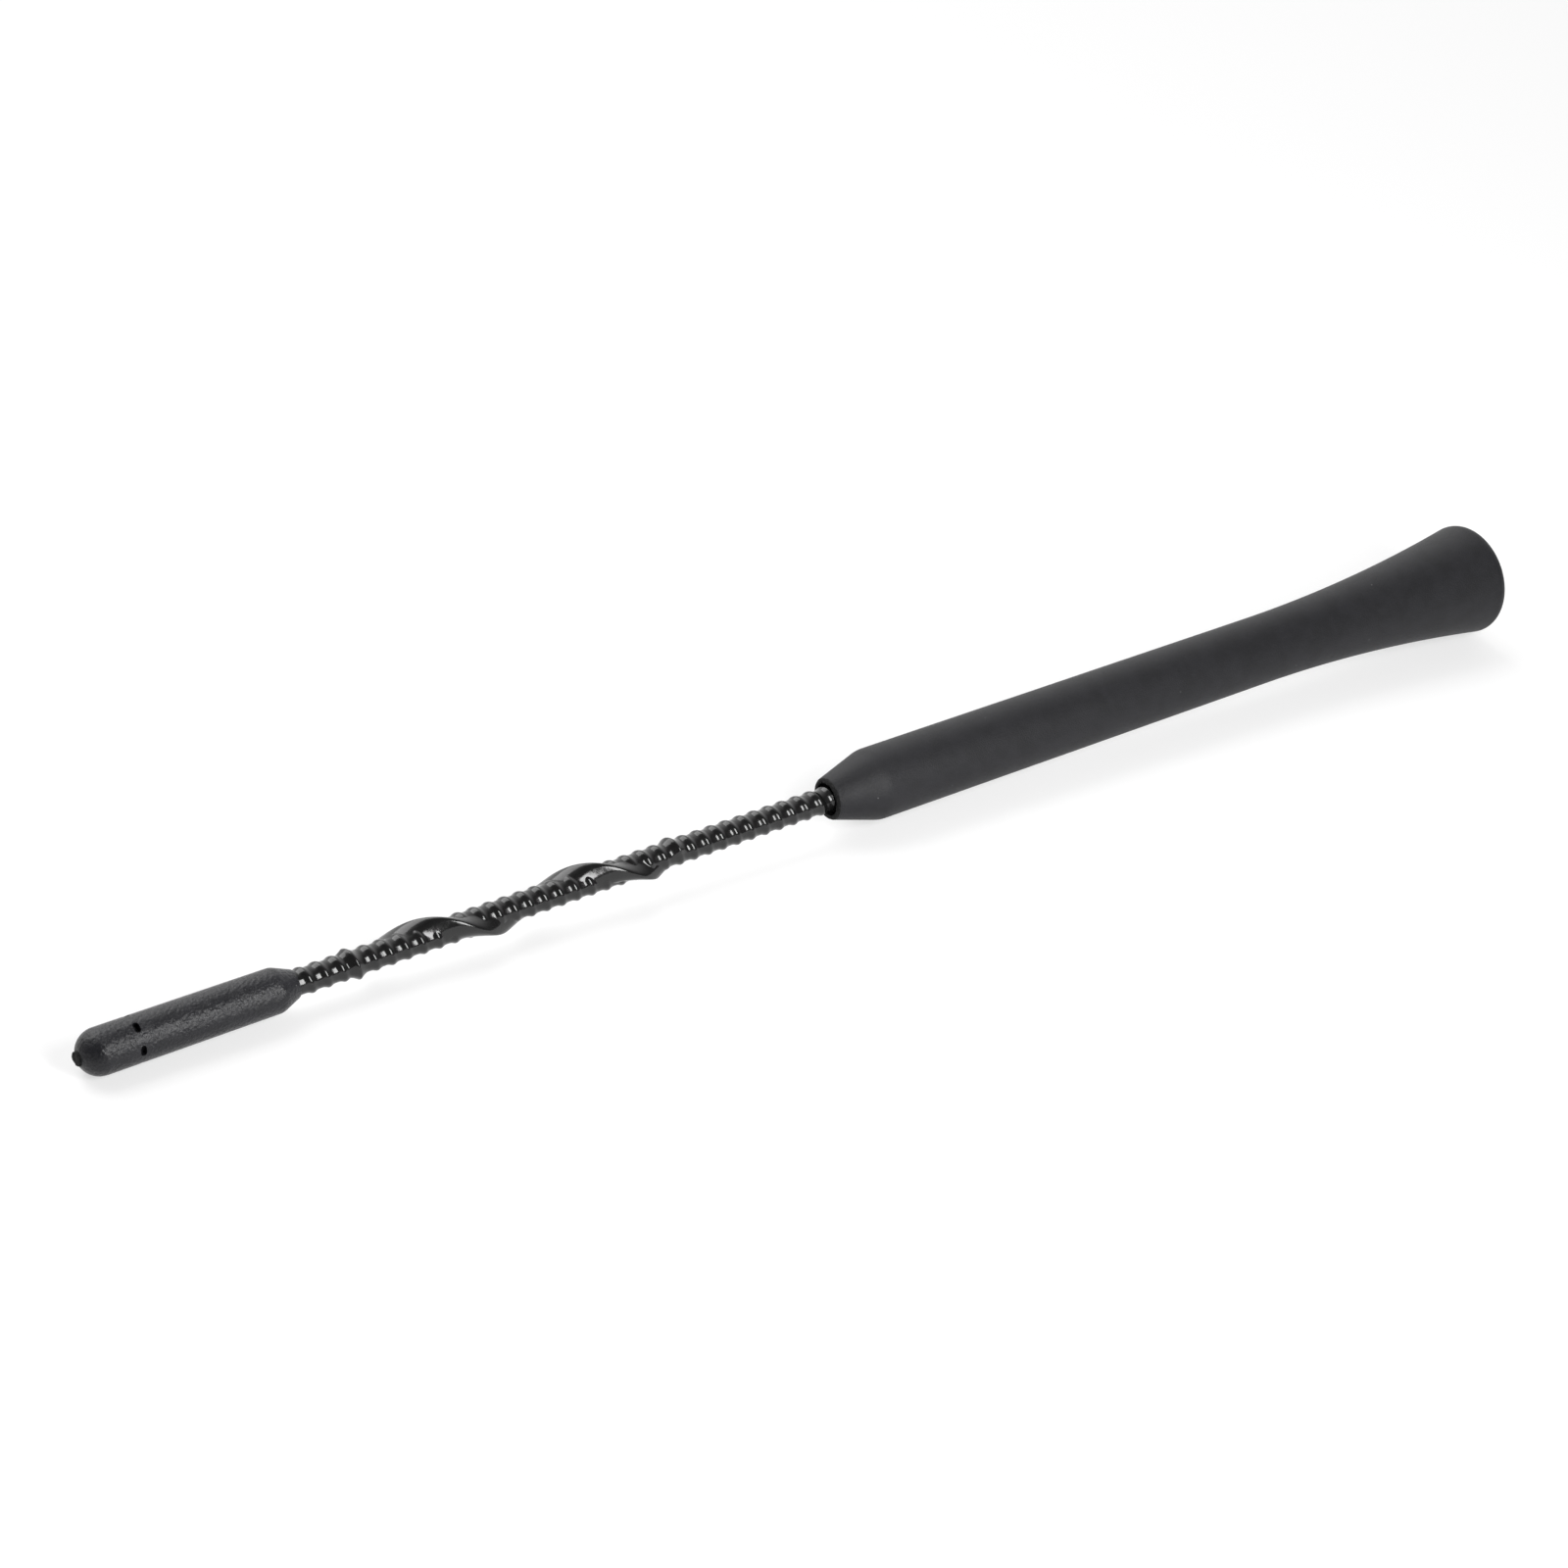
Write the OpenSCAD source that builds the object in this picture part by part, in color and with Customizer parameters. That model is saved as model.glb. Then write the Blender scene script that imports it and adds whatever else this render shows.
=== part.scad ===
// Car roof aerial. A flared grip sleeve stands on its foot and carries a slim mast,
// wound with a helical conductor under a glossy skin, and a plain cap closes the tip.
// +Z runs along the mast to the tip. The origin is the centre of the foot's flat end.

/* [Sleeve] */
// Length of the sleeve from the foot to the mouth
sleeve_len = 119.2; // [100:0.2:160]
// Radius of the grip below the shoulder
sleeve_r = 4.98; // [4.6:0.02:6.5]
// Radius of the waist above the flare
waist_r = 4.9; // [4.4:0.02:6]
// Height of the waist above the foot
waist_z = 43; // [32:1:60]
// Radius of the foot where the flare meets its flat end, before the edge is rounded
foot_r = 8.42; // [7:0.02:11]
// Rounding of the foot's edge
foot_edge_r = 1.6; // [0.4:0.1:2.2]
// Length of the cone between the grip and the mouth
shoulder_len = 7.2; // [5:0.1:12]
// Rounding where the cone meets the grip
shoulder_round_r = 5; // [1:0.5:8]
// Outer radius of the mouth's lip
mouth_r = 2.86; // [2.7:0.02:3.6]
// Rounding of the mouth's lip
lip_round_r = 0.25; // [0.05:0.05:0.3]
// Depth of the open recess round the mast in the mouth
mouth_depth = 3; // [1:0.5:6]
// Gap between the ribs and the wall of the mouth
mouth_gap = 0.4; // [0.1:0.05:0.5]

/* [Mast skin] */
// Length of the mast between the mouth and the cap
mast_len = 80.8; // [64:0.2:140]
// Radius over the ribs
rib_crest_r = 1.86; // [1.8:0.02:2.1]
// Radius in the saddles between the ribs
rib_saddle_r = 1.61; // [1.58:0.01:1.75]
// Advance of the ribs in one turn
rib_pitch = 2.276; // [1.8:0.002:3.2]
// Direction in which a rib crosses the front at the cap's end
rib_phase = 147; // [0:1:360]
// How narrow a rib's crest is beside its saddle
rib_sharpness = 1.4; // [1:0.1:3]
// Length of the skin's smooth end inside the sleeve, below the mouth's recess
skin_seat_low = 8; // [4:0.5:14]
// Length of the skin's smooth end inside the cap
skin_seat_high = 8; // [4:0.5:12]

/* [Spiral strake] */
// Distance from the mouth to the lower end of the strake
strake_start = 24.6; // [12:0.2:32]
// Number of turns of the strake
strake_turns = 3.25; // [2.5:0.25:4]
// Advance of the strake in one of its long turns
strake_pitch = 24.4; // [16:0.2:30]
// Turns at each end that lie along the ribs
strake_tight_turns = 0.5; // [0.25:0.05:0.75]
// Turns over which the strake swings from the ribs' pitch to its own
strake_swing_turns = 0.38; // [0.2:0.02:0.6]
// Direction of the lower end of the strake
strake_phase = -90; // [-180:5:180]
// Crest radius of the strake on its long turns
strake_crest_r = 2.72; // [2.2:0.02:3.2]
// Crest radius of the strake at its tight ends
strake_end_r = 2.2; // [1.9:0.02:2.4]
// Half width of the long turns towards the tip, with the skin that hangs from them
strake_half_w = 2.1; // [0.9:0.05:2.6]
// Half width of the long turns towards the foot, where the skin drops more steeply
strake_steep_half_w = 1.4; // [0.9:0.05:2.2]
// Half width of the strake at its tight ends
strake_end_half_w = 1.2; // [0.6:0.05:1.6]
// How far the upper long turn sags towards the foot
strake_sag = 1; // [0:0.1:1.5]

/* [Cap] */
// Length of the cap from its skirt to the top of the dome
cap_len = 29.4; // [24:0.2:40]
// Radius of the cap at the dome
cap_r = 3.03; // [2.8:0.01:4]
// Radius of the cap at the skirt
cap_skirt_r = 2.95; // [2.7:0.01:4]
// Length of the cone at the skirt
cap_cone_len = 2.6; // [1:0.1:5]
// Radius of the skirt's end face
cap_mouth_r = 1.88; // [1.84:0.02:2.2]
// Rounding where the cone meets the cap's side
cap_round_r = 2; // [0.2:0.1:3]
// Radius of the torn gate mark on the dome
gate_r = 0.95; // [0.5:0.05:1.4]
// Height of the gate mark above the dome
gate_h = 0.3; // [0.2:0.1:1]
// Number of the oval holes round the cap
hole_count = 6; // [3:1:8]
// Distance of the ring of holes below the top of the dome
hole_drop = 7.4; // [5:0.1:12]
// Width of a hole along the cap
hole_w = 0.8; // [0.4:0.02:1.2]
// Length of a hole round the cap
hole_len = 1.4; // [1.22:0.02:1.8]
// Depth of a hole
hole_depth = 0.9; // [0.4:0.1:1.2]
// Direction of the first hole
hole_phase = -5; // [-60:0.1:60]

/* [Rod and wire] */
// Radius of the glass-fibre rod
rod_r = 1.05; // [0.8:0.01:1.1]
// Depth to which the rod reaches into the cap
rod_in_cap = 20; // [12:0.5:24]
// Diameter of the copper wire
wire_d = 0.28; // [0.15:0.01:0.3]
// Clearance between pieces that fit into each other
fit_gap = 0.03; // [0.01:0.01:0.05]

/* [Threaded socket] */
// Height of the socket's face above the foot's flat end
socket_recess = 0.4; // [0:0.1:1.5]
// Radius of the socket's flange
flange_r = 4.6; // [4.2:0.1:5.5]
// Thickness of the socket's flange
flange_h = 1.4; // [0.8:0.1:3]
// Radius of the socket's body
body_r = 3.9; // [3.6:0.05:4.2]
// Length of the socket's body above the flange
body_h = 10.6; // [9:0.2:16]
// Width of the groove that anchors the body
groove_w = 2; // [1:0.1:4]
// Depth of the groove that anchors the body
groove_depth = 0.4; // [0.2:0.05:0.7]
// Radius of the crimp barrel
barrel_r = 2.3; // [1.8:0.05:3]
// Length of the crimp barrel
barrel_h = 9; // [6:0.5:14]
// Radius of the tapped hole
thread_hole_r = 2.5; // [2:0.05:2.8]
// Depth of the tapped hole below its countersink
thread_depth = 9; // [6:0.5:10]
// Width and depth of the countersink at the hole's mouth
thread_chamfer = 0.5; // [0.2:0.1:0.8]

/* [Hidden] */

// Heights along the aerial
mouth_z = sleeve_len;
shoulder_z = mouth_z - shoulder_len;
skin_seat_z = mouth_z - mouth_depth - skin_seat_low;
cap_z = mouth_z + mast_len;
skin_top_z = cap_z + skin_seat_high;
dome_top_z = cap_z + cap_len;
socket_body_z = socket_recess + flange_h;
barrel_z = socket_body_z + body_h;
barrel_top_z = barrel_z + barrel_h;
rod_top_z = cap_z + rod_in_cap;

// The flare is one arc, tangent to the vertical at the waist
flare_spread = foot_r - waist_r;
flare_arc_r = (flare_spread * flare_spread + waist_z * waist_z) / (2 * flare_spread);
flare_steps = 14;
// Share of the flare's height that is left to the rounded edge of the foot
flare_start = 0.075;

// The winding is a chain of straight pieces that clears the rod at the middle of each
winding_segments = 12;
winding_sides = 5;
wire_r = wire_d / 2;
winding_r = (rod_r + fit_gap + wire_r) / cos(180 / winding_segments);
wire_outer_r = winding_r + wire_r;
rod_bore_r = rod_r + fit_gap;
wire_bore_r = wire_outer_r + fit_gap;
// Room at each end of the skin before the first turn of wire
winding_end_room = 1.5;
winding_low_z = skin_seat_z + winding_end_room;
winding_high_z = skin_top_z - winding_end_room;

// The skin is a net of helical rows, a few across each rib
skin_sides = 28;
rib_rows = [0, 0.2, 0.5, 0.8];
rows = len(rib_rows);
skin_end_r = rib_saddle_r;
skin_bore_r = wire_bore_r / cos(180 / skin_sides);
// Ribs fade in and out over this height at each end of the ribbed stretch
rib_fade = rib_pitch / 3;
rib_low_z = mouth_z - mouth_depth + fit_gap;
rib_high_z = cap_z - fit_gap;
rib_turns = floor((rib_high_z - rib_low_z) / rib_pitch) - 1;
net_low_z = rib_low_z + (rib_high_z - rib_low_z - (rib_turns + 1) * rib_pitch) / 2;

arc_steps = 8;
lathe_sides = 96;
hole_sides = 24;
cut = 0.1;

function unit(v) = v / norm(v);

// The points of a rounding of radius r at corner b, between its neighbours a and c
function corner_arc(a, b, c, r) =
    let (u = unit(a - b), v = unit(c - b), half = acos(u * v) / 2)
    let (centre = b + unit(u + v) * r / sin(half), start = b + u * r / tan(half) - centre)
    let (finish = b + v * r / tan(half) - centre)
    let (turn = atan2(start.x * finish.y - start.y * finish.x, start * finish))
    [for (i = [0:arc_steps])
        let (w = turn * i / arc_steps)
        centre + [start.x * cos(w) - start.y * sin(w), start.x * sin(w) + start.y * cos(w)]];

function flare_radius(z) =
    waist_r + flare_arc_r - sqrt(flare_arc_r * flare_arc_r - (waist_z - z) * (waist_z - z));

// Outline of the outside of the sleeve, from the foot to the mouth, as radius and height
function flare_points() =
    [for (i = [0:flare_steps])
        let (z = waist_z * (flare_start + (1 - flare_start) * i / flare_steps))
        [flare_radius(z), z]];

function sleeve_outline() =
    let (flare = flare_points(), foot = [foot_r, 0], shoulder = [sleeve_r, shoulder_z])
    let (lip = [mouth_r, mouth_z])
    concat(
        [[0, 0]],
        corner_arc([0, 0], foot, flare[0], foot_edge_r),
        flare,
        corner_arc([waist_r, waist_z], shoulder, lip, shoulder_round_r),
        corner_arc(shoulder, lip, [0, mouth_z], lip_round_r),
        [[0, mouth_z]]
    );

// Outline of the outside of the threaded socket, grown by a clearance for its pocket
function socket_outline(gap) =
    let (groove_z = socket_body_z + (body_h - groove_w) / 2)
    [
        [0, socket_recess],
        [flange_r + gap, socket_recess],
        [flange_r + gap, socket_body_z],
        [body_r + gap, socket_body_z],
        [body_r + gap, groove_z + gap],
        [body_r - groove_depth + gap, groove_z + gap],
        [body_r - groove_depth + gap, groove_z + groove_w - gap],
        [body_r + gap, groove_z + groove_w - gap],
        [body_r + gap, barrel_z],
        [barrel_r + gap, barrel_z],
        [barrel_r + gap, barrel_top_z],
        [0, barrel_top_z]
    ];

module lathe(outline) {
    rotate_extrude($fn = lathe_sides) polygon(outline);
}

// A round hole from one height to another
module bore(r, low_z, high_z) {
    translate([0, 0, low_z]) cylinder(r = r, h = high_z - low_z, $fn = lathe_sides);
}

// The moulded grip, hollow for the rod, the wire and the end of the skin
module base_sleeve() {
    color("#26272a")
    difference() {
        lathe(sleeve_outline());
        lathe(socket_outline(fit_gap));
        bore(flange_r + fit_gap, -cut, socket_recess + cut);
        bore(wire_bore_r, barrel_top_z - cut, mouth_z);
        bore(skin_end_r + fit_gap, skin_seat_z, mouth_z);
        bore(rib_crest_r + mouth_gap, mouth_z - mouth_depth, mouth_z + cut);
    }
}

// The turned brass insert, tapped from below and crimped on the rod above
module threaded_socket() {
    color("#b8923c")
    difference() {
        lathe(socket_outline(0));
        bore(thread_hole_r, socket_recess - cut, socket_recess + thread_chamfer + thread_depth);
        translate([0, 0, socket_recess - cut])
            cylinder(r1 = thread_hole_r + thread_chamfer + cut, r2 = thread_hole_r,
                     h = thread_chamfer + cut, $fn = lathe_sides);
        bore(rod_bore_r, barrel_z, barrel_top_z + cut);
    }
}

// The glass-fibre rod, from the bottom of the crimp barrel into the cap
module core_rod() {
    color("#d8cfae")
    bore(rod_r, barrel_z, rod_top_z);
}

// Path of the wire: straight up beside the rod, then wound round it under the ribs
winding_turn_count = (winding_high_z - winding_low_z) / rib_pitch;
winding_steps = floor(winding_turn_count * winding_segments);
winding_start_a = 360 * (winding_low_z - cap_z) / rib_pitch + rib_phase;

function winding_point(i) =
    let (a = winding_start_a + 360 * i / winding_segments)
    [winding_r * cos(a), winding_r * sin(a), winding_low_z + rib_pitch * i / winding_segments];

function winding_path() =
    let (first = winding_point(0))
    concat([[first.x, first.y, barrel_top_z]], [for (i = [0:winding_steps]) winding_point(i)]);

// One ring of the wire's surface round a point of its path, square to the path there
function wire_ring(path, i) =
    let (last = len(path) - 1, here = path[i])
    let (along = unit(path[min(i + 1, last)] - path[max(i - 1, 0)]))
    let (out = unit([here.x, here.y, 0]), side = unit(cross(along, out)), top = cross(side, along))
    [for (j = [0:winding_sides - 1])
        let (w = 360 * j / winding_sides)
        here + wire_r * (top * cos(w) + side * sin(w))];

// A level ring for the straight run, so that its end lies flat on the crimp barrel
function level_ring(here) =
    let (out = unit([here.x, here.y, 0]), side = [-out.y, out.x, 0])
    [for (j = [0:winding_sides - 1])
        let (w = 360 * j / winding_sides)
        here + wire_r * (out * cos(w) + side * sin(w))];

module antenna_winding() {
    path = winding_path();
    count = len(path);
    n = winding_sides;
    points = concat(level_ring(path[0]), [for (i = [1:count - 1]) each wire_ring(path, i)]);
    walls = [for (i = [0:count - 2]) for (j = [0:n - 1])
        let (k = (j + 1) % n)
        each [
            [i * n + j, (i + 1) * n + k, i * n + k],
            [i * n + j, (i + 1) * n + j, (i + 1) * n + k]
        ]];
    low_end = [for (j = [0:n - 1]) j];
    high_end = [for (j = [n - 1:-1:0]) (count - 1) * n + j];
    color("#b5693a")
    polyhedron(points, concat([low_end], walls, [high_end]), convexity = 10);
}

function clamp01(x) = max(0, min(1, x));

// Rises from 0 to 1 with level ends, slowly at first and last
function ease(x) = let (t = clamp01(x)) t * t * t * (10 - 15 * t + 6 * t * t);

// How far the ribs stand out at a height, from 0 at the smooth ends to 1
function rib_strength(z) =
    ease((z - rib_low_z) / rib_fade) * ease((rib_high_z - z) / rib_fade);

// Radius of the ribbed skin, where across runs from 0 on one crest to 1 on the next
function rib_radius(across, z) =
    rib_saddle_r
    + (rib_crest_r - rib_saddle_r) * rib_strength(z) * pow((1 + cos(360 * across)) / 2, rib_sharpness);

// The strake winds along the ribs at both ends and stretches out between them
strake_z = mouth_z + strake_start;
strake_swing_out = strake_tight_turns;
strake_swing_back = strake_turns - strake_tight_turns - strake_swing_turns;
// Middle and reach of the sag, in turns from the strake's lower end
strake_sag_middle = strake_turns - 1.15;
strake_sag_reach = 0.5;
// Rounding of the crest, as a share of the half width
strake_round = 0.15;

// Share of the way from the ribs' pitch to the strake's own
function strake_stretch(turns) =
    clamp01((turns - strake_swing_out) / strake_swing_turns)
    - clamp01((turns - strake_swing_back) / strake_swing_turns);

// The sum of a ramp that climbs from 0 at x = 0 to 1 at x = 1
function ramp_sum(x) = x < 0 ? 0 : x < 1 ? x * x / 2 : x - 1 / 2;

function strake_pitch_at(turns) = rib_pitch + (strake_pitch - rib_pitch) * strake_stretch(turns);
function strake_height(turns) =
    let (out = ramp_sum((turns - strake_swing_out) / strake_swing_turns))
    let (back = ramp_sum((turns - strake_swing_back) / strake_swing_turns))
    let (off_middle = (turns - strake_sag_middle) / strake_sag_reach)
    let (sag = strake_sag * pow(max(0, 1 - off_middle * off_middle), 2))
    strake_z + rib_pitch * turns + (strake_pitch - rib_pitch) * strake_swing_turns * (out - back) - sag;

// The strake's section: a narrow rounded crest with the skin hanging down from it
function strake_section(x) =
    let (drop = (norm([x, strake_round]) - strake_round) / (norm([1, strake_round]) - strake_round))
    x >= 1 ? 0 : pow(1 - drop, 1.3);

// Radius that one turn of the strake gives the skin, by the distance square to its run
function strake_turn_radius(turns, z) =
    let (at = max(0, min(strake_turns, turns)), stretch = strake_stretch(at))
    let (around = 2 * PI * rib_crest_r)
    let (slope = around / norm([around, strake_pitch_at(at)]))
    let (along = (z - strake_height(at)) * slope)
    let (away = norm([along, (turns - at) * around]))
    let (long_half_w = along > 0 ? strake_half_w : strake_steep_half_w)
    let (half_w = strake_end_half_w + (long_half_w - strake_end_half_w) * stretch)
    let (crest = strake_end_r + (strake_crest_r - strake_end_r) * stretch)
    rib_saddle_r + (crest - rib_saddle_r) * strake_section(away / half_w);

function strake_radius(a, z) =
    let (first = (a - strake_phase) / 360)
    max([for (k = [-1:ceil(strake_turns)]) strake_turn_radius(first - floor(first) + k, z)]);

function skin_radius(across, a, z) = max(rib_radius(across, z), strake_radius(a, z));

// Places of the net's points. Row r and column c lie on a helix that starts in the
// direction of the seam, and the last column of a row is the first one a turn higher.
net_rows = rib_turns * rows;
function net_z(r, c) =
    net_low_z + rib_pitch * (floor(r / rows) + rib_rows[r % rows] + c / skin_sides);
function net_across(r) = rib_rows[r % rows];
net_seam_a = rib_phase + 360 * (net_low_z - cap_z) / rib_pitch;
function net_angle(c) = net_seam_a + 360 * c / skin_sides;
function net_point(r, c) =
    let (z = net_z(r, c), a = net_angle(c), radius = skin_radius(net_across(r), a, z))
    [radius * cos(a), radius * sin(a), z];
function skin_ring(radius, z) =
    [for (c = [0:skin_sides - 1])
        let (a = net_angle(c))
        [radius * cos(a), radius * sin(a), z]];

module mast_sheath() {
    n = skin_sides;
    // A turn of first-column points more, above the last row, closes the seam
    net = [for (r = [0:net_rows]) for (c = [0:n - 1]) net_point(r, c)];
    seam_top = [for (r = [net_rows + 1:net_rows + rows]) net_point(r, 0)];
    net_count = len(net);
    // Number of the point in row r and column c, where the last column is shared
    function id(r, c) =
        c == n ? id(r + rows, 0) : r <= net_rows ? r * n + c : net_count + r - net_rows - 1;
    // Rings from the low end up to the ribs, then from the ribs up to the high end
    rings = concat(
        skin_ring(skin_bore_r, skin_seat_z),
        skin_ring(skin_end_r, skin_seat_z),
        skin_ring(skin_end_r, rib_low_z),
        skin_ring(skin_end_r, rib_high_z),
        skin_ring(skin_end_r, skin_top_z),
        skin_ring(skin_bore_r, skin_top_z)
    );
    low_bore = net_count + len(seam_top);
    low_edge = low_bore + n;
    low_rim = low_edge + n;
    high_rim = low_rim + n;
    high_edge = high_rim + n;
    high_bore = high_edge + n;
    // The side between two rings, or an end face, seen clockwise from outside
    function wall(low, high) = [for (c = [0:n - 1]) [low + c, high + c, high + (c + 1) % n, low + (c + 1) % n]];
    side = [for (r = [0:net_rows - 1]) for (c = [0:n - 1]) each [
        [id(r, c), id(r + 1, c), id(r + 1, c + 1)],
        [id(r, c), id(r + 1, c + 1), id(r, c + 1)]
    ]];
    // Bands of triangles join the net's rising first and last rows to the level rims
    low_band = [for (c = [0:n - 1])
        let (next = (c + 1) % n)
        each [
            [low_rim + c, id(0, c), low_rim + next],
            [low_rim + next, id(0, c), id(0, c + 1)]
        ]];
    low_step = [for (r = [0:rows - 1]) [low_rim, id(r + 1, 0), id(r, 0)]];
    high_band = [for (c = [0:n - 1])
        let (next = (c + 1) % n)
        each [
            [id(net_rows, c), high_rim + c, high_rim + next],
            [id(net_rows, c), high_rim + next, id(net_rows, c + 1)]
        ]];
    high_step = [for (r = [net_rows:net_rows + rows - 1]) [high_rim, id(r, 0), id(r + 1, 0)]];
    ends = concat(
        wall(low_bore, low_edge),
        wall(low_edge, low_rim),
        wall(high_rim, high_edge),
        wall(high_edge, high_bore),
        wall(high_bore, low_bore)
    );
    color("#0d0d0f")
    polyhedron(
        concat(net, seam_top, rings),
        concat(side, low_band, low_step, high_band, high_step, ends),
        convexity = 10
    );
}

// Outline of the outside of the cap, from the skirt to the top of the dome
function cap_outline() =
    let (dome_z = dome_top_z - cap_r, mouth = [cap_mouth_r, cap_z])
    let (shoulder = [cap_skirt_r, cap_z + cap_cone_len])
    concat(
        [[0, cap_z], mouth],
        corner_arc(mouth, shoulder, [cap_r, dome_z], cap_round_r),
        [for (i = [0:3 * arc_steps])
            let (a = 90 * i / (3 * arc_steps))
            [cap_r * cos(a), dome_z + cap_r * sin(a)]]
    );

// One oval hole, sunk from the cap's side towards its axis
module oval_hole() {
    spread = (hole_len - hole_w) / 2;
    depth = hole_depth + cut;
    translate([cap_r - hole_depth, 0, 0]) rotate([0, 90, 0]) {
        for (side = [-1, 1]) translate([0, side * spread, 0]) cylinder(d = hole_w, h = depth, $fn = hole_sides);
        translate([-hole_w / 2, -spread, 0]) cube([hole_w, 2 * spread, depth]);
    }
}

// The moulded cap, blind-bored for the skin, the wire and the rod
module tip_cap() {
    color("#232427")
    difference() {
        union() {
            lathe(cap_outline());
            bore(gate_r, dome_top_z - cap_r / 2, dome_top_z + gate_h);
        }
        bore(skin_end_r + fit_gap, cap_z - cut, skin_top_z);
        bore(rod_bore_r, skin_top_z - cut, rod_top_z);
        for (i = [0:hole_count - 1])
            rotate([0, 0, hole_phase - i * 360 / hole_count])
                translate([0, 0, dome_top_z - hole_drop]) oval_hole();
    }
}

base_sleeve();
threaded_socket();
core_rod();
antenna_winding();
mast_sheath();
tip_cap();
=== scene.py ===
import math

import bpy
from mathutils import Matrix, Vector, noise


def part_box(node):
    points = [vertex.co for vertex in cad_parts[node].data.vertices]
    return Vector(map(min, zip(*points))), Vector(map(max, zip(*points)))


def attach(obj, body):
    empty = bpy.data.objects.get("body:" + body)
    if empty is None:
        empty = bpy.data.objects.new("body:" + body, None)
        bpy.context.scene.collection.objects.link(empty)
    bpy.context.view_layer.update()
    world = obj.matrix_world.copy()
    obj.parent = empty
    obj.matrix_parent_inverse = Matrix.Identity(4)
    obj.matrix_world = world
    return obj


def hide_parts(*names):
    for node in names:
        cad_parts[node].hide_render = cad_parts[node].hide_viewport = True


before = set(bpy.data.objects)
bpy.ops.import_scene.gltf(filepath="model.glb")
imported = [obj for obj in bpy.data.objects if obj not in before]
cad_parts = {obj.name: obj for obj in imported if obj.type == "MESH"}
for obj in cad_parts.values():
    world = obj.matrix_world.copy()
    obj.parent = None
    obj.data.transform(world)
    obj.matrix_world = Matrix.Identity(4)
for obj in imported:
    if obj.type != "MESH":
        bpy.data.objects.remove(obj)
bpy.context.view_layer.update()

# Sizes are in millimetres and become metres where a mesh is made, apart from those of the lights
# and the floor's half side, which are in metres. Angles are in degrees.
MM = 0.001

# Heights along the aerial and two radii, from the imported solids
MOUTH_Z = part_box("base_sleeve")[1].z / MM
CAP_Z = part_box("tip_cap")[0].z / MM
TIP_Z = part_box("tip_cap")[1].z / MM
SKIN_LOW_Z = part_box("mast_sheath")[0].z / MM
SKIN_HIGH_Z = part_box("mast_sheath")[1].z / MM
ROD_HIGH_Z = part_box("core_rod")[1].z / MM
ROD_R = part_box("core_rod")[1].x / MM
SOCKET_LOW_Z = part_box("threaded_socket")[0].z / MM
BARREL_HIGH_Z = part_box("threaded_socket")[1].z / MM
FLANGE_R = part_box("threaded_socket")[1].x / MM
WIRE_LOW_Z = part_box("antenna_winding")[0].z / MM

# The play between pieces that fit together
FIT_GAP = 0.03
# Closer to the axis than this, a point of an outline is on the axis
ON_AXIS = 1e-6
# Sides of the turned pieces: first the sleeve and the cap, then the skin and the socket
MOULDING_SIDES = 160
MAST_SIDES = 128

# Sleeve
GRIP_R = 4.98
WAIST_R = 4.9
WAIST_Z = 43
FOOT_R = 8.42
FOOT_ROUND = 1.6
# Share of the way from the foot to the waist at which the curved flare starts
FLARE_START = 0.075
FLARE_STEPS = 60
SHOULDER_Z = MOUTH_Z - 7.2
SHOULDER_ROUND = 5
LIP_R = 2.86
LIP_ROUND = 0.4
MOUTH_BORE_R = 2.26
MOUTH_DEPTH = 3
EDGE_ROUND = 0.12

# Wear of the mouth's lip. It reaches down from the mouth, and is full where its fade ends. It has
# broad swells and small chips, in a pattern that is drawn out along the mast by the stretch.
WEAR_REACH = 0.6
WEAR_FADE = 0.5
WEAR_MARGIN = 0.2
WEAR_STRETCH = 0.4
WEAR_SWELL = 0.14
WEAR_SWELL_SCALE = 1.1
WEAR_CHIP = 0.07
WEAR_CHIP_SCALE = 3.4
WEAR_PUSH = 0.6
WEAR_SINK = 0.072
WEAR_SINK_GAIN = 0.36
# Above this height the lip of the mouth is painted darker with paler flecks and made dull: painted
# shade of the mouth.
LIP_PAINTED_SHADE_Z = MOUTH_Z - 0.35

# Ribbed skin
RIB_CREST_R = 1.86
RIB_SADDLE_R = 1.61
RIB_PITCH = 2.276
RIB_PHASE = 147
RIB_SHARPNESS = 2
RIB_LOW_Z = MOUTH_Z - MOUTH_DEPTH + FIT_GAP
RIB_HIGH_Z = CAP_Z - FIT_GAP
RIB_ROWS = 18
# The ribs fade out at both ends over this share of a pitch
RIB_FADE = 1 / 3
# How far inside the tube's outside, or past the ribs' ends, a point may lie and still be moved
SADDLE_MARGIN = 0.05
HEIGHT_MARGIN = 0.001

# Spiral strake on the skin
STRAKE_LOW_Z = MOUTH_Z + 24.6
STRAKE_TURNS = 3.25
STRAKE_PITCH = 24.4
STRAKE_TIGHT_TURNS = 0.5
STRAKE_SWING_TURNS = 0.38
STRAKE_PHASE = -90
STRAKE_CREST_R = 2.72
STRAKE_END_R = 2.2
STRAKE_HALF_W = 2.25
STRAKE_STEEP_HALF_W = 1.55
STRAKE_END_HALF_W = 1.3
# One turn sags: how far, about which number of turns, and over how many turns to either side
STRAKE_SAG = 1
STRAKE_SAG_MIDDLE = STRAKE_TURNS - 1.15
STRAKE_SAG_REACH = 0.5
STRAKE_ROUND = 0.11
# How hollow the web runs from the crest down to the skin, where 1 is straight
STRAKE_HOLLOW = 1.65

# Cap
CAP_R = 3.03
CAP_SKIRT_R = 2.95
CAP_CONE_LEN = 2.6
CAP_MOUTH_R = 1.88
CAP_ROUND = 2
CAP_EDGE_ROUND = 0.1
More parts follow.
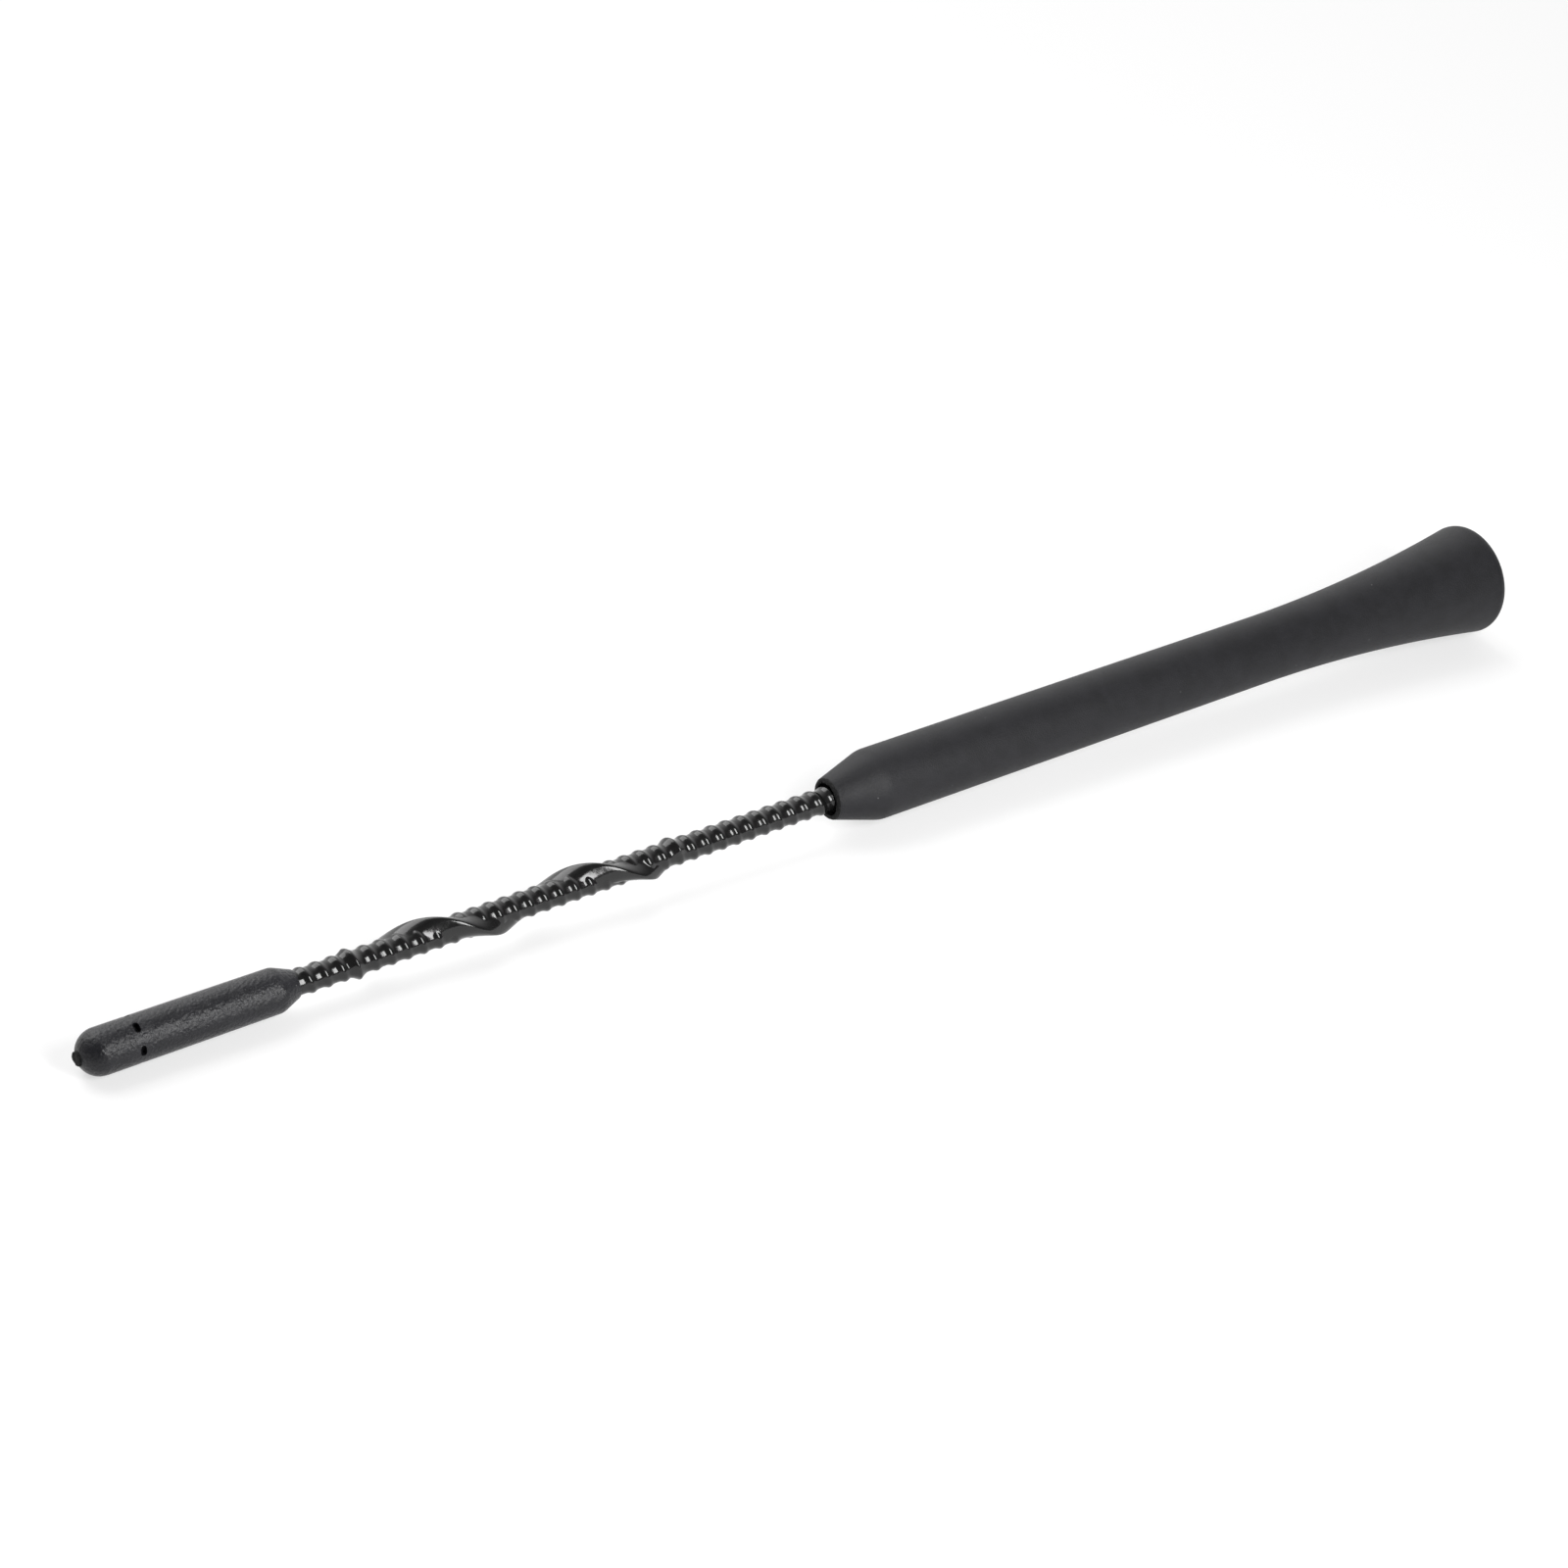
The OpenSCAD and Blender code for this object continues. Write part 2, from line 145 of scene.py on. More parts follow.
# The even rows of the cap's side, and how far above its cone they start
CAP_SIDE_STEPS = 60
CAP_SIDE_START = 1
GATE_R = 0.95
GATE_H = 0.3
GATE_FIRST_STEP = 0.05
GATE_STEP = 0.08
GATE_RINGS = 10
HOLE_COUNT = 6
# How far the centres of the holes lie below the top of the dome
HOLE_DROP = 7.4
HOLE_W = 0.8
HOLE_LEN = 1.4
HOLE_DEPTH = 0.9
HOLE_PHASE = -5
CUTTER_OVERHANG = 0.5
# Heights of the dome's centre and of the gate mark's foot on the dome
DOME_Z = TIP_Z - GATE_H - CAP_R
GATE_FOOT_Z = DOME_Z + math.sqrt(CAP_R ** 2 - GATE_R ** 2)

# Tear of the gate mark. It reaches down onto the dome. Its outline has swells and chips, and its
# end face is sunk, with broad hollows and small pits.
TEAR_REACH = 0.12
TEAR_FADE = 0.3
TEAR_MARGIN = 0.01
TEAR_STRETCH = 0.5
TEAR_SWELL = 0.16
TEAR_SWELL_SCALE = 1.3
TEAR_CHIP = 0.1
TEAR_CHIP_SCALE = 3.1
TEAR_SINK = 0.17
TEAR_HOLLOW = 0.11
TEAR_HOLLOW_SCALE = 1.7
TEAR_PIT = 0.06
TEAR_PIT_SCALE = 5

# Wire, wound round the rod under the ribs
WIRE_R = 0.14
WIRE_CENTRE_R = ROD_R + FIT_GAP + WIRE_R
WIRE_BORE_R = WIRE_CENTRE_R + WIRE_R + 2 * FIT_GAP
# How far inside both ends of the skin the winding stops
WIRE_END_ROOM = 1.5
WIRE_SEGMENTS = 20
WIRE_SIDES = 8

# Threaded socket
FLANGE_H = 1.4
BODY_R = 3.9
BODY_H = 10.6
GROOVE_W = 2
GROOVE_DEPTH = 0.4
BARREL_R = 2.3
BODY_LOW_Z = SOCKET_LOW_Z + FLANGE_H
GROOVE_LOW_Z = BODY_LOW_Z + (BODY_H - GROOVE_W) / 2
BARREL_LOW_Z = BODY_LOW_Z + BODY_H
THREAD_HOLE_R = 2.5
THREAD_DEPTH = 9
THREAD_CHAMFER = 0.5
THREAD_LOW_Z = SOCKET_LOW_Z + THREAD_CHAMFER
THREAD_TOP_Z = THREAD_LOW_Z + THREAD_DEPTH
THREAD_PITCH = 1
THREAD_GROOVE = 0.5
THREAD_ROWS = 16
THREAD_MARGIN = 0.01
# Shares of the vee where its crest ends and where its root starts
THREAD_CREST_SHARE = 0.12
THREAD_ROOT_SHARE = 0.94
# The groove runs out between these distances under the thread's top
THREAD_RUNOUT_LOW = 0.8
THREAD_RUNOUT_HIGH = 0.1

# The camera sees the two ends of the axis at these places of a frame 1600 wide
FRAME_SIDE = 1600
TIP_IN_FRAME = (75.9, 1081.6)
FOOT_IN_FRAME = (1500.3, 588.1)
# The foot is this many times as far from the camera as the tip
FOOT_DEPTH_RATIO = 1.258
LENS = 86.6
SENSOR = 36

# Floor
FLOOR_LEAN = 42
FLOOR_HALF = 1.6
FLOOR_GLOW = 0.56
# Where the floor touches the foot's rim and the cap
FOOT_TOUCH_Z = 1
FOOT_TOUCH_R = 8.2
CAP_TOUCH_Z = 226

# The world: its dim and its bright side, and the direction of the bright one
WORLD_DIM = 0.12
WORLD_BRIGHT = 1.3
WORLD_AROUND = -135
WORLD_CLIMB = -20
# It brightens between these cosines of the angle to that direction
WORLD_FADE_LOW = -0.1
WORLD_FADE_HIGH = 0.9

# Blacks of the two mouldings, and the share by which their blue is raised
SLEEVE_BLACK = 0.0075
CAP_BLACK = 0.0095
COOL = 0.2


class Value:
    """The value of one socket. Arithmetic on it adds Math nodes to its board."""

    def __init__(self, board, socket):
        self.board = board
        self.socket = socket

    def output(self, name):
        return Value(self.board, self.socket.node.outputs[name])

    def math(self, operation, *others):
        return self.board.math(operation, self, *others)

    def clamped(self, low, high):
        return self.math("MAXIMUM", low).math("MINIMUM", high)

    def __add__(self, other):
        return self.board.math("ADD", self, other)

    def __radd__(self, other):
        return self.board.math("ADD", other, self)

    def __sub__(self, other):
        return self.board.math("SUBTRACT", self, other)

    def __rsub__(self, other):
        return self.board.math("SUBTRACT", other, self)

    def __mul__(self, other):
        return self.board.math("MULTIPLY", self, other)

    def __rmul__(self, other):
        return self.board.math("MULTIPLY", other, self)

    def __truediv__(self, other):
        return self.board.math("DIVIDE", self, other)

    def __pow__(self, other):
        return self.board.math("POWER", self, other)

    def __gt__(self, other):
        return self.board.math("GREATER_THAN", self, other)

    def __lt__(self, other):
        return self.board.math("LESS_THAN", self, other)


class Board:
    """Adds nodes to one tree, of a material, the world or a shape."""

    def __init__(self, tree):
        self.tree = tree

    def node(self, kind, settings=None, sockets=None, output=0):
        """Adds a node, its settings first, then its sockets from values or plain numbers."""
        made = self.tree.nodes.new(kind)
        for name, setting in (settings or {}).items():
            setattr(made, name, setting)
        for key, source in (sockets or {}).items():
            if isinstance(source, Value):
                self.tree.links.new(source.socket, made.inputs[key])
            else:
                made.inputs[key].default_value = source
        return Value(self, made.outputs[output]) if made.outputs else None

    def math(self, operation, *values):
        return self.node("ShaderNodeMath", {"operation": operation}, dict(enumerate(values)))

    def vector(self, x, y, z):
        return self.node("ShaderNodeCombineXYZ", None, {"X": x, "Y": y, "Z": z})

    def parts(self, vector):
        """The three numbers of a vector."""
        x = self.node("ShaderNodeSeparateXYZ", None, {"Vector": vector})
        return x, x.output("Y"), x.output("Z")

    def ramp(self, value, low, high, at_low=0.0, at_high=1.0, ease="SMOOTHSTEP"):
        """Runs from at_low to at_high while the value runs from low to high."""
        sockets = {"Value": value, "From Min": low, "From Max": high}
        sockets |= {"To Min": at_low, "To Max": at_high}
        return self.node("ShaderNodeMapRange", {"interpolation_type": ease}, sockets)

    def mix(self, share, first, second):
        """Blends two colours."""
        settings = {"data_type": "RGBA", "clamp_factor": True}
        return self.node("ShaderNodeMix", settings, {0: share, 6: first, 7: second}, output=2)

    def noise(self, place, scale, detail, roughness):
        sockets = {"Vector": place, "Scale": scale, "Detail": detail, "Roughness": roughness}
        return self.node("ShaderNodeTexNoise", None, sockets)

    def cells(self, place, scale, feature="F1"):
        sockets = {"Vector": place, "Scale": scale}
        return self.node("ShaderNodeTexVoronoi", {"feature": feature}, sockets)

    def bump(self, height, strength, distance, under=None):
        sockets = {"Height": height, "Strength": strength, "Distance": distance}
        if under is not None:
            sockets["Normal"] = under
        return self.node("ShaderNodeBump", None, sockets)


def grey(level, cool=0.0):
    """A grey, with its blue raised by a share."""
    return (level, level, level * (1 + cool), 1)


# Outlines are lists of points, as radius and height

def arc(centre, radius, start, finish, steps):
    """Points on a circle between two directions in degrees, where 0 points away from the axis."""
    turns = [math.radians(start + (finish - start) * i / steps) for i in range(steps + 1)]
    return [(centre[0] + radius * math.cos(t), centre[1] + radius * math.sin(t)) for t in turns]


def rounded(before, corner, after, radius, steps):
    """Points of the rounding of a corner between its two neighbours."""
    corner = Vector(corner)
    first = (Vector(before) - corner).normalized()
    second = (Vector(after) - corner).normalized()
    half = first.angle(second) / 2
    centre = corner + (first + second).normalized() * radius / math.sin(half)
    start = corner + first * radius / math.tan(half) - centre
    finish = corner + second * radius / math.tan(half) - centre
    turn = -start.angle_signed(finish)
    return [tuple(centre + Matrix.Rotation(turn * i / steps, 2) @ start) for i in range(steps + 1)]


def level_steps(radius, low, high, step):
    """Points up or down a cylinder at even small steps."""
    count = max(1, round(abs(high - low) / step))
    return [(radius, low + (high - low) * i / count) for i in range(count + 1)]


def lathe(name, outline, sides):
    """A closed solid of revolution. The outline runs up the outside and back down the inside,
    and its points on the axis become one point each."""
    rows = []
    points = []
    for radius, height in outline:
        if radius < ON_AXIS:
            rows.append([len(points)] * sides)
            points.append((0, 0, height * MM))
            continue
        rows.append([len(points) + j for j in range(sides)])
        for j in range(sides):
            turn = 2 * math.pi * j / sides
            points.append((radius * math.cos(turn) * MM, radius * math.sin(turn) * MM, height * MM))
    faces = []
    for low, high in zip(rows, rows[1:] + rows[:1]):
        for j in range(sides):
            k = (j + 1) % sides
            corners = [low[j], low[k], high[k], high[j]]
            face = list(dict.fromkeys(corners))
            if len(face) > 2:
                faces.append(face)
    mesh = bpy.data.meshes.new(name)
    mesh.from_pydata(points, [], faces)
    return add_object(name, mesh)


def uneven(place, scale, offset, most):
    """A smooth unevenness at a place, at most as large as given either way."""
    return noise.noise(place * scale + Vector(offset)) * most


def add_object(name, mesh):
    piece = bpy.data.objects.new(name, mesh)
    bpy.context.scene.collection.objects.link(piece)
    return piece


def smooth(piece, sharp_angle=35):
    """Shades a piece smooth, apart from edges sharper than an angle in degrees."""
    mesh = piece.data
    mesh.polygons.foreach_set("use_smooth", [True] * len(mesh.polygons))
    mesh.set_sharp_from_angle(angle=math.radians(sharp_angle))
    return piece


def shape_tree(name, sizes):
    """A geometry tree with one named input for each size, and its input values by name."""
    tree = bpy.data.node_groups.new(name, "GeometryNodeTree")
    tree.interface.new_socket("Blank", in_out="INPUT", socket_type="NodeSocketGeometry")
    tree.interface.new_socket("Shape", in_out="OUTPUT", socket_type="NodeSocketGeometry")
    for label, size in sizes.items():
        kind = "NodeSocketObject" if isinstance(size, bpy.types.Object) else "NodeSocketFloat"
        tree.interface.new_socket(label, in_out="INPUT", socket_type=kind)
    board = Board(tree)
    first = board.node("NodeGroupInput")
    return board, {label: first.output(label) for label in ["Blank", *sizes]}


def shaped(blank, board, shape, sizes, material):
    """Ends a tree, runs it on a blank and returns the plain mesh that it makes as the piece."""
    real = board.node("GeometryNodeRealizeInstances", None, {"Geometry": shape})
    painted = board.node("GeometryNodeSetMaterial", None, {"Geometry": real, "Material": material})
    board.node("NodeGroupOutput", None, {"Shape": painted})
    maker = blank.modifiers.new("shape", "NODES")
    maker.node_group = board.tree
    for item in board.tree.interface.items_tree:
        if item.in_out == "INPUT" and item.name in sizes:
            maker[item.identifier] = sizes[item.name]
    seen = blank.evaluated_get(bpy.context.evaluated_depsgraph_get())
    made = bpy.data.meshes.new_from_object(seen)
    blank.modifiers.remove(maker)
    blank.data = made
    return blank


def finish_piece(piece, node):
    """Hands a finished piece to the frame in the place of its solid."""
    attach(piece, "root")
    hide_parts(node)


# Materials

def millimetres(board):
    """The place on the piece, in millimetres."""
    place = board.node("ShaderNodeTexCoord", output="Object")
    return board.node("ShaderNodeVectorMath", {"operation": "SCALE"}, {0: place, "Scale": 1 / MM})


def new_material(name, **constants):
    """A material with one Principled shader, whose constants are set on its own sockets."""
    material = bpy.data.materials.new(name)
    material.use_nodes = True
    shader = material.node_tree.nodes["Principled BSDF"]
    for label, value in constants.items():
        shader.inputs[label.replace("_", " ")].default_value = value
    return material, Board(material.node_tree), shader


def feed(board, shader, **sources):
    """Links values to the shader's sockets."""
    for label, source in sources.items():
        board.tree.links.new(source.socket, shader.inputs[label.replace("_", " ")])


def eroded_plastic(name, level, gloss, grain_scale, grain_depth, rough_low, rough_high, tear_and_shade_z):
    """Black plastic from a spark-eroded mould: fine pebbles, a mottled gloss and a little dust.
    It is darker and dull above a height: on the cap's gate that is its torn stub, on the sleeve's
    lip it is painted shade of the mouth."""
    material, board, shader = new_material(name, IOR=1.5, Specular_IOR_Level=gloss)
    place = millimetres(board)
    pebbles = board.cells(place, grain_scale, "SMOOTH_F1")
    fine = board.noise(place, scale=grain_scale * 1.7, detail=4, roughness=0.6)
    broad = board.noise(place, scale=0.35, detail=3, roughness=0.55)
    cloud = board.noise(place, scale=1.4, detail=3, roughness=0.6)
    dust_cell = board.cells(place, scale=0.55)
    chosen = board.ramp(board.parts(dust_cell.output("Color"))[0], 0.80, 0.82)
    speck = board.ramp(dust_cell, 0.035, 0.065, 1, 0) * chosen
    pale = grey(level * 1.35, COOL)
    palest = grey(level * 1.7, COOL)
    base = board.mix(board.ramp(broad, 0.35, 0.65), grey(level, COOL), pale)
    base = board.mix(board.ramp(cloud, 0.5, 0.8, 0, 0.35), base, palest)
    base = board.mix(speck * 0.5, base, grey(0.22))
    roughness = board.ramp(fine, 0.3, 0.7, rough_low, rough_high, "LINEAR")
    height = pebbles * 0.7 + fine * 0.6
    # Above the given height the colour turns darker with paler flecks and the gloss dulls: on the
    # cap this is the torn gate, on the sleeve's lip it is painted shade of the mouth.
    ragged_noise = board.noise(place, scale=3.2, detail=5, roughness=0.75)
    tear_and_shade = board.ramp(board.parts(place)[2] + ragged_noise * 0.3, tear_and_shade_z + 0.1, tear_and_shade_z + 0.2)
    flecks = board.ramp(ragged_noise, 0.56, 0.7)
    base = board.mix(tear_and_shade, base, board.mix(flecks, grey(0.002), grey(0.05)))
    tear_and_shade_roughness = 0.75
    roughness = roughness + tear_and_shade * (tear_and_shade_roughness - roughness)
    height = height + tear_and_shade * ragged_noise * 5
    relief = board.bump(height, strength=1.0, distance=grain_depth * MM)
    feed(board, shader, Base_Color=base, Roughness=roughness, Normal=relief)
    return material


def shrunk_skin(name):
    """Glossy black skin shrunk on the ribs, with a faint orange peel and a fine grain."""
    material, board, shader = new_material(name, IOR=1.5, Specular_IOR_Level=0.5)
    place = millimetres(board)
    peel = board.noise(place, scale=1.6, detail=2, roughness=0.5)
    fine = board.noise(place, scale=9, detail=3, roughness=0.6)
    smear = board.noise(place, scale=0.6, detail=3, roughness=0.6)
    base = board.mix(smear, grey(0.004), grey(0.009))
    roughness = board.ramp(smear, 0.3, 0.7, 0.12, 0.18, "LINEAR") + fine * 0.03
    waves = board.bump(peel, strength=0.3, distance=0.05 * MM)
    relief = board.bump(fine, strength=0.1, distance=0.006 * MM, under=waves)
    feed(board, shader, Base_Color=base, Roughness=roughness, Normal=relief)
    return material


def turned_brass(name):
    """Brass with the rings that a turning tool leaves and some duller patches."""
    material, board, shader = new_material(name, Metallic=1.0)
    place = millimetres(board)
    x, y, z = board.parts(place)
    across = (x * x + y * y) ** 0.5
    rings_a_millimetre = 14
    ringed = board.vector(across * rings_a_millimetre, 0, z * rings_a_millimetre)
    rings = board.noise(ringed, scale=1, detail=2, roughness=0.6)
    dull = board.noise(place, scale=0.9, detail=3, roughness=0.6)
    base = board.mix(dull, (0.62, 0.42, 0.15, 1), (0.78, 0.57, 0.25, 1))
    roughness = board.ramp(rings, 0.3, 0.7, 0.2, 0.36, "LINEAR")
    relief = board.bump(rings, strength=0.4, distance=0.02 * MM)
    feed(board, shader, Base_Color=base, Roughness=roughness, Normal=relief)
    return material


def drawn_copper(name):
    """Copper wire under clear enamel, a little uneven in colour and shine."""
    material, board, shader = new_material(name, Metallic=1.0, Coat_Weight=0.6)
    place = millimetres(board)
    draw = board.noise(place, scale=4, detail=3, roughness=0.6)
    base = board.mix(draw, (0.62, 0.27, 0.13, 1), (0.8, 0.4, 0.22, 1))
    roughness = board.ramp(draw, 0.3, 0.7, 0.25, 0.4, "LINEAR")
    feed(board, shader, Base_Color=base, Roughness=roughness)
    return material


def glass_rod(name):
    """Resin-bound glass fibre, with its fibres as long fine streaks."""
    material, board, shader = new_material(name, IOR=1.54)
    place = millimetres(board)
    x, y, z = board.parts(place)
    across_scale = 12
    along_scale = 0.15
    drawn_out = board.vector(x * across_scale, y * across_scale, z * along_scale)
    streaks = board.noise(drawn_out, scale=1, detail=3, roughness=0.6)
    base = board.mix(streaks, (0.5, 0.43, 0.26, 1), (0.72, 0.68, 0.5, 1))
    roughness = board.ramp(streaks, 0.3, 0.7, 0.3, 0.5)
    relief = board.bump(streaks, strength=0.3, distance=0.03 * MM)
    feed(board, shader, Base_Color=base, Roughness=roughness, Normal=relief)
    return material


# Sleeve

def flare_radius(z):
    """The sleeve's radius below its waist, on a circle that runs into the grip."""
    spread = FOOT_R - WAIST_R
    sweep = (spread ** 2 + WAIST_Z ** 2) / (2 * spread)
    return WAIST_R + sweep - math.sqrt(sweep ** 2 - (WAIST_Z - z) ** 2)


def socket_pocket():
    """The pocket that holds the socket, from its barrel down to the foot."""
    body = BODY_R + FIT_GAP
    neck = body - GROOVE_DEPTH
    return [
        (BARREL_R + FIT_GAP, BARREL_HIGH_Z),
        (BARREL_R + FIT_GAP, BARREL_LOW_Z),
        (body, BARREL_LOW_Z),
        (body, GROOVE_LOW_Z + GROOVE_W - FIT_GAP),
        (neck, GROOVE_LOW_Z + GROOVE_W - FIT_GAP),
        (neck, GROOVE_LOW_Z + FIT_GAP),
        (body, GROOVE_LOW_Z + FIT_GAP),
        (body, BODY_LOW_Z),
        (FLANGE_R + FIT_GAP, BODY_LOW_Z),
    ]


def sleeve_outline():
    pocket_wall = (FLANGE_R + FIT_GAP, BODY_LOW_Z)
    pocket_mouth = (FLANGE_R + FIT_GAP, 0)
    foot = (FOOT_R, 0)
    shares = [FLARE_START + (1 - FLARE_START) * i / FLARE_STEPS for i in range(FLARE_STEPS + 1)]
    flare = [(flare_radius(WAIST_Z * share), WAIST_Z * share) for share in shares]
    waist = (WAIST_R, WAIST_Z)
    shoulder = (GRIP_R, SHOULDER_Z)
    lip = (LIP_R, MOUTH_Z)
    bore = (MOUTH_BORE_R, MOUTH_Z)
    recess_floor = (MOUTH_BORE_R, MOUTH_Z - MOUTH_DEPTH)
    return [
        *rounded(pocket_wall, pocket_mouth, foot, EDGE_ROUND, steps=4),
        *rounded(pocket_mouth, foot, flare[0], FOOT_ROUND, steps=14),
        *flare,
        *rounded(waist, shoulder, lip, SHOULDER_ROUND, steps=12),
        *rounded(shoulder, lip, bore, LIP_ROUND, steps=6),
        *rounded(lip, bore, recess_floor, EDGE_ROUND, steps=4),
        recess_floor,
        (RIB_SADDLE_R + FIT_GAP, MOUTH_Z - MOUTH_DEPTH),
        (RIB_SADDLE_R + FIT_GAP, SKIN_LOW_Z),
        (WIRE_BORE_R, SKIN_LOW_Z),
        (WIRE_BORE_R, BARREL_HIGH_Z),
        *socket_pocket(),
    ]


def wear_lip(sleeve):
    """Makes the lip of the mouth a little ragged, as it is left by the mast that was pushed in."""
    wear_low_z = MOUTH_Z - WEAR_REACH
    for vertex in sleeve.data.vertices:
        x, y, z = vertex.co / MM
        radius = math.hypot(x, y)
        if z < wear_low_z or radius > LIP_R + WEAR_MARGIN:
            continue
        share = min(1, (z - wear_low_z) / WEAR_FADE)
        place = Vector((x, y, z * WEAR_STRETCH))
        swell = uneven(place, WEAR_SWELL_SCALE, (2, 6, 3), WEAR_SWELL)
        chip = uneven(place, WEAR_CHIP_SCALE, (8, 1, 5), WEAR_CHIP)
        push = 1 + (swell + chip) * share / radius * WEAR_PUSH
        sink = (WEAR_SINK + (swell + chip) * WEAR_SINK_GAIN) * share
        vertex.co = (x * push * MM, y * push * MM, (z - max(0, sink)) * MM)


def make_sleeve(material):
    sleeve = lathe("grained_sleeve", sleeve_outline(), MOULDING_SIDES)
    wear_lip(sleeve)
    smooth(sleeve)
    sleeve.data.materials.append(material)
    finish_piece(sleeve, "base_sleeve")


# Ribbed skin

def skin_blank_outline():
    """A plain tube with rows close enough for the ribs, over the length that carries them."""
    return [
        (WIRE_BORE_R, SKIN_LOW_Z),
        (RIB_SADDLE_R, SKIN_LOW_Z),
        *level_steps(RIB_SADDLE_R, RIB_LOW_Z, RIB_HIGH_Z, RIB_PITCH / RIB_ROWS),
        (RIB_SADDLE_R, SKIN_HIGH_Z),
        (WIRE_BORE_R, SKIN_HIGH_Z),
    ]


def swing_back(size):
    """The number of turns at which the strake swings back to its tight upper end."""
    return size["Strake turns"] - size["Tight turns"] - size["Swing turns"]


def strake_height(at, size):
    """The height of the strake's crest at a number of turns from its lower end."""
    def swing_sum(start):
        x = (at - start) / size["Swing turns"]
        swinging = x.clamped(0, 1)
        return swinging * swinging / 2 + (x - 1).math("MAXIMUM", 0)
    swung = swing_sum(size["Tight turns"]) - swing_sum(swing_back(size))
    extra = size["Strake pitch"] - size["Rib pitch"]
    off_middle = (at - size["Sag middle"]) / size["Sag reach"]
    sag = size["Sag"] * (1 - off_middle * off_middle).math("MAXIMUM", 0) ** 2
    climb = size["Rib pitch"] * at + extra * size["Swing turns"] * swung
    return size["Strake low height"] + climb - sag


def strake_stretch(at, size):
    """Runs from 0 on the tight ends to 1 on the long turns."""
    def swing(start):
        return ((at - start) / size["Swing turns"]).clamped(0, 1)
    return swing(size["Tight turns"]) - swing(swing_back(size))


def strake_turn_radius(turns, z, size):
    """Radius that one turn of the strake gives the skin, by the distance square to its run."""
    at = turns.clamped(0, size["Strake turns"])
    stretch = strake_stretch(at, size)
    around = 2 * math.pi * size["Crest radius"]
    pitch = size["Rib pitch"] + (size["Strake pitch"] - size["Rib pitch"]) * stretch
    slope = around / (around * around + pitch * pitch).math("SQRT")
    along = (z - strake_height(at, size)) * slope
    aside = (turns - at) * around
    away = (along * along + aside * aside).math("SQRT")
    slack = size["Strake half width"] - size["Strake steep half width"]
    long_half_width = size["Strake steep half width"] + slack * (along > 0)
    end_half_width = size["Strake end half width"]
    half_width = end_half_width + (long_half_width - end_half_width) * stretch
    crest_rise = size["Strake crest radius"] - size["Strake end radius"]
    crest = size["Strake end radius"] + crest_rise * stretch
    x = (away / half_width).math("MINIMUM", 1)
    round_off = size["Crest rounding"]
    reach = (1 + round_off * round_off).math("SQRT") - round_off
    drop = ((x * x + round_off * round_off).math("SQRT") - round_off) / reach
    section = (1 - drop).math("MAXIMUM", 0) ** size["Web hollow"]
    return size["Saddle radius"] + (crest - size["Saddle radius"]) * section


def ribbed(board, size):
    """Sets each point of the tube's outside to the radius of the ribs or of the strake."""
    place = board.node("GeometryNodeInputPosition")
    x, y, z = board.parts(place)
    z = z / MM
    turn = y.math("ARCTAN2", x) / (2 * math.pi)
    across = (z - size["Crest height"]) / size["Rib pitch"] - (turn - size["Rib phase"] / 360)
    wave = (1 + (across * 2 * math.pi).math("COSINE")) / 2
    fade = size["Rib pitch"] * RIB_FADE
    low_fade = board.ramp((z - size["Rib low height"]) / fade, 0, 1, ease="SMOOTHERSTEP")
    high_fade = board.ramp((size["Rib high height"] - z) / fade, 0, 1, ease="SMOOTHERSTEP")
    rise = (size["Crest radius"] - size["Saddle radius"]) * (low_fade * high_fade)
    radius = size["Saddle radius"] + rise * wave.math("MAXIMUM", 0) ** size["Rib sharpness"]
    first = (turn - size["Strake phase"] / 360).math("FRACT")
    for k in range(-1, math.ceil(STRAKE_TURNS) + 1):
        radius = radius.math("MAXIMUM", strake_turn_radius(first + k, z, size))
    outside = (x * x + y * y).math("SQRT") > (size["Saddle radius"] - SADDLE_MARGIN) * MM
    above_low_end = z > size["Rib low height"] - HEIGHT_MARGIN
    below_high_end = z < size["Rib high height"] + HEIGHT_MARGIN
    chosen = outside * above_low_end * below_high_end
    angle = turn * 2 * math.pi
    reach = radius * MM
    moved = board.vector(angle.math("COSINE") * reach, angle.math("SINE") * reach, z * MM)
    sockets = {"Geometry": size["Blank"], "Selection": chosen, "Position": moved}
    return board.node("GeometryNodeSetPosition", None, sockets)


def make_skin(material):
    sizes = {
        "Rib pitch": RIB_PITCH,
        "Crest radius": RIB_CREST_R,
        "Saddle radius": RIB_SADDLE_R,
        "Rib phase": RIB_PHASE,
        "Rib sharpness": RIB_SHARPNESS,
        "Crest height": CAP_Z,
        "Rib low height": RIB_LOW_Z,
        "Rib high height": RIB_HIGH_Z,
        "Strake low height": STRAKE_LOW_Z,
        "Strake turns": STRAKE_TURNS,
        "Strake pitch": STRAKE_PITCH,
        "Strake phase": STRAKE_PHASE,
        "Tight turns": STRAKE_TIGHT_TURNS,
        "Swing turns": STRAKE_SWING_TURNS,
        "Strake crest radius": STRAKE_CREST_R,
        "Strake end radius": STRAKE_END_R,
        "Strake half width": STRAKE_HALF_W,
        "Strake steep half width": STRAKE_STEEP_HALF_W,
        "Strake end half width": STRAKE_END_HALF_W,
        "Crest rounding": STRAKE_ROUND,
        "Web hollow": STRAKE_HOLLOW,
        "Sag": STRAKE_SAG,
        "Sag middle": STRAKE_SAG_MIDDLE,
        "Sag reach": STRAKE_SAG_REACH,
    }
    blank = lathe("glossy_skin", skin_blank_outline(), MAST_SIDES)
    board, size = shape_tree("ribs and strake", sizes)
    skin = shaped(blank, board, ribbed(board, size), sizes, material)
    finish_piece(smooth(skin, sharp_angle=50), "mast_sheath")


# Cap

